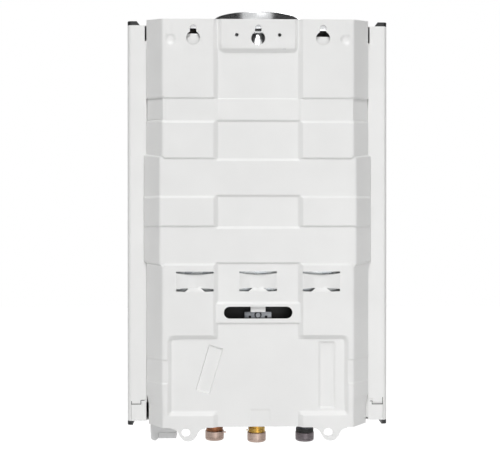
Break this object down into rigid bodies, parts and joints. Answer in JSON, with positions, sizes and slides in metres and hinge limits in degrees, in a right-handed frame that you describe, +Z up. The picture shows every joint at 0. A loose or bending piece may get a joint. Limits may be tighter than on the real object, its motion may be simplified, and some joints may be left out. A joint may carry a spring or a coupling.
{
  "type": "wall-hung gas water heater",
  "caption": "Wall-hung propane instantaneous water heater with an embossed steel back plate, keyhole slots, wall lugs, louvres, flue collar and threaded connections below.",
  "frame": {"origin": "midway between the two outer keyhole entries, on the plane of the back plate that meets the wall", "axes": "+Z up, +Y towards the wall, +X to the left in a view from behind"},
  "size_m": [0.291, 0.1685, 0.488],
  "materials": {
    "white_coat": "fine textured powder coat",
    "galvanised": "bright zinc-coated sheet",
    "black_plastic": "matte",
    "grey_plastic": "matte",
    "dark_plastic": "satin",
    "copper": "tarnished copper tube",
    "brass": "machined",
    "dark_brass": "heat-darkened",
    "dark_steel": "dark zinc",
    "steel": "plain steel",
    "cast_alloy": "die cast",
    "rubber": "moulded",
    "ceramic": "glazed ceramic",
    "glass": "clear",
    "lens": "smoked",
    "cell": "printed sleeve"
  },
  "bodies": {
    "casing": {"rear_casing": "white_coat", "front_cover": "white_coat", "top_panel": "white_coat", "bottom_panel": "white_coat", "top_caps": "black_plastic", "bottom_feet": "black_plastic", "cover_screws": "steel", "flue_collar": "galvanised", "draft_hood": "galvanised", "combustion_chamber": "copper", "heat_exchanger_fins": "copper", "heat_exchanger_tubes": "copper", "jacket_coil": "copper", "cold_pipe": "copper", "hot_pipe": "copper", "gas_pipe": "copper", "pipe_nuts": "brass", "locknuts": "steel", "burner_frame": "galvanised", "burner_blades": "steel", "gas_manifold": "cast_alloy", "gas_nozzles": "brass", "ignition_electrode": "ceramic", "flame_sensor": "ceramic", "overheat_thermostat": "dark_plastic", "chamber_brackets": "galvanised", "hood_bracket": "galvanised", "slot_bracket": "galvanised", "slot_bracket_screw": "steel", "hot_water_fitting": "dark_brass", "cold_water_fitting": "brass", "gas_fitting": "dark_steel", "inlet_filter": "steel", "water_valve_body": "brass", "valve_cover": "brass", "diaphragm": "rubber", "gas_valve_body": "cast_alloy", "gas_valve_spring": "steel", "microswitch": "dark_plastic", "solenoid_coil": "black_plastic", "control_fascia": "dark_plastic", "display_lens": "lens", "window_glass": "glass", "mode_switch": "black_plastic", "control_box": "black_plastic", "control_leads": "rubber", "battery_box": "grey_plastic", "batteries": "cell"},
    "gas_control": {"gas_knob": "dark_plastic", "gas_spindle": "brass"},
    "water_control": {"water_knob": "dark_plastic", "water_spindle": "brass"},
    "mode_control": {"mode_knob": "dark_plastic"},
    "lid": {"battery_lid": "grey_plastic"},
    "valve_rod": {"push_rod": "steel", "gas_valve_disc": "rubber"},
    "switch_lever": {"microswitch_lever": "steel"},
    "plunger": {"solenoid_plunger": "steel"},
    "cock": {"drain_cock": "black_plastic"}
  },
  "joints": [
    {"name": "gas_knob_turn", "type": "hinge", "parent": "casing", "child": "gas_control", "pos_m": [-0.062, -0.149, -0.35], "axis": [0, 1, 0], "range_deg": [-135, 135]},
    {"name": "water_knob_turn", "type": "hinge", "parent": "casing", "child": "water_control", "pos_m": [0, -0.149, -0.35], "axis": [0, 1, 0], "range_deg": [-135, 135]},
    {"name": "mode_knob_turn", "type": "hinge", "parent": "casing", "child": "mode_control", "pos_m": [0.062, -0.149, -0.35], "axis": [0, 1, 0], "range_deg": [-45, 45]},
    {"name": "battery_lid_swing", "type": "hinge", "parent": "casing", "child": "lid", "pos_m": [0.1164, -0.07, -0.4445], "axis": [0, -1, 0], "range_deg": [0, 110]},
    {"name": "push_rod_slide", "type": "slide", "parent": "casing", "child": "valve_rod", "axis": [-1, 0, 0], "range_m": [0, 0.004], "stiffness_N_per_m": 400, "springref_m": -0.002, "deforming": ["gas_valve_spring", "diaphragm"]},
    {"name": "switch_lever_turn", "type": "hinge", "parent": "casing", "child": "switch_lever", "pos_m": [-0.031, -0.062, -0.353], "axis": [0, 1, 0], "range_deg": [0, 16]},
    {"name": "plunger_lift", "type": "slide", "parent": "casing", "child": "plunger", "axis": [0, 0, 1], "range_m": [0, 0.004]},
    {"name": "drain_cock_turn", "type": "hinge", "parent": "casing", "child": "cock", "pos_m": [0.016, -0.077, -0.43], "axis": [0, 0, 1], "range_deg": [0, 360]}
  ],
  "couplings": [
    {"joint": "switch_lever_turn", "follows": "push_rod_slide", "rad_per_m": 68}
  ]
}
